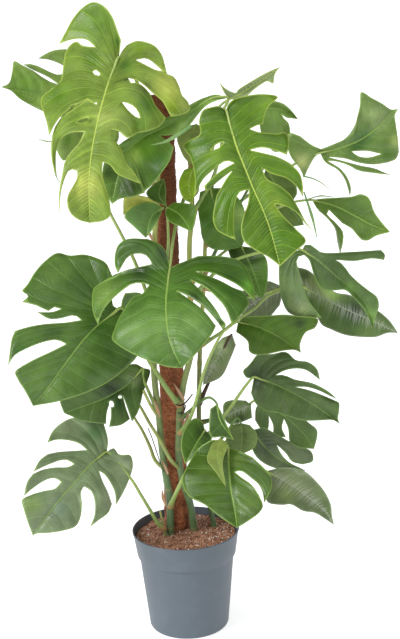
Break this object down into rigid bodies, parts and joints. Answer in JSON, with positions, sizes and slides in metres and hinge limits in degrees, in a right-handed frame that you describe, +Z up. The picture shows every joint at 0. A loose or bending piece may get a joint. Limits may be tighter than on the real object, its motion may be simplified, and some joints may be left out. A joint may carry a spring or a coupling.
{
  "type": "potted monstera plant on a coir pole",
  "caption": "Potted monstera: large split green leaves on long stalks, climbing a coir pole in a tapered slate-grey nursery pot; a decorative houseplant.",
  "frame": {"origin": "centre of the pot's underside", "axes": "+Z up along the pot's axis, -Y towards the plant's front as pictured, +X to the viewer's right"},
  "size_m": [0.8402, 0.434, 1.3832],
  "materials": {
    "pot_plastic": "satin injection-moulded polypropylene, slate grey",
    "potting_soil": "loose peat and coir mix with white perlite",
    "coir": "matt coconut fibre wound round the pole",
    "vine": "smooth living stem",
    "tie_wire": "black plastic-coated wire",
    "leaf_young": "glossy young leaf, yellow-green",
    "leaf_mid": "glossy leaf, mid green",
    "leaf_dark": "waxy mature leaf, dark green",
    "leaf_olive": "waxy leaf, olive green"
  },
  "bodies": {
    "root": {"pot": "pot_plastic", "soil": "potting_soil", "pole": "coir", "vine_1": "vine", "vine_2": "vine", "vine_3": "vine", "vine_4": "vine", "tie": "tie_wire", "leaf_01": "leaf_young", "leaf_02": "leaf_dark", "leaf_03": "leaf_mid", "leaf_04": "leaf_young", "leaf_05": "leaf_young", "leaf_06": "leaf_mid", "leaf_07": "leaf_mid", "leaf_08": "leaf_mid", "leaf_09": "leaf_dark", "leaf_10": "leaf_mid", "leaf_11": "leaf_mid", "leaf_12": "leaf_dark", "leaf_13": "leaf_mid", "leaf_14": "leaf_olive", "leaf_15": "leaf_dark", "leaf_16": "leaf_dark", "leaf_17": "leaf_mid", "leaf_18": "leaf_mid", "leaf_19": "leaf_mid", "leaf_20": "leaf_olive", "leaf_21": "leaf_dark", "leaf_22": "leaf_dark", "leaf_23": "leaf_dark", "leaf_24": "leaf_dark", "leaf_25": "leaf_mid", "leaf_26": "leaf_mid", "leaf_27": "leaf_young", "leaf_28": "leaf_dark", "leaf_29": "leaf_dark", "leaf_30": "leaf_dark", "leaf_31": "leaf_dark", "leaf_32": "leaf_dark", "leaf_33": "leaf_dark"}
  },
  "joints": []
}
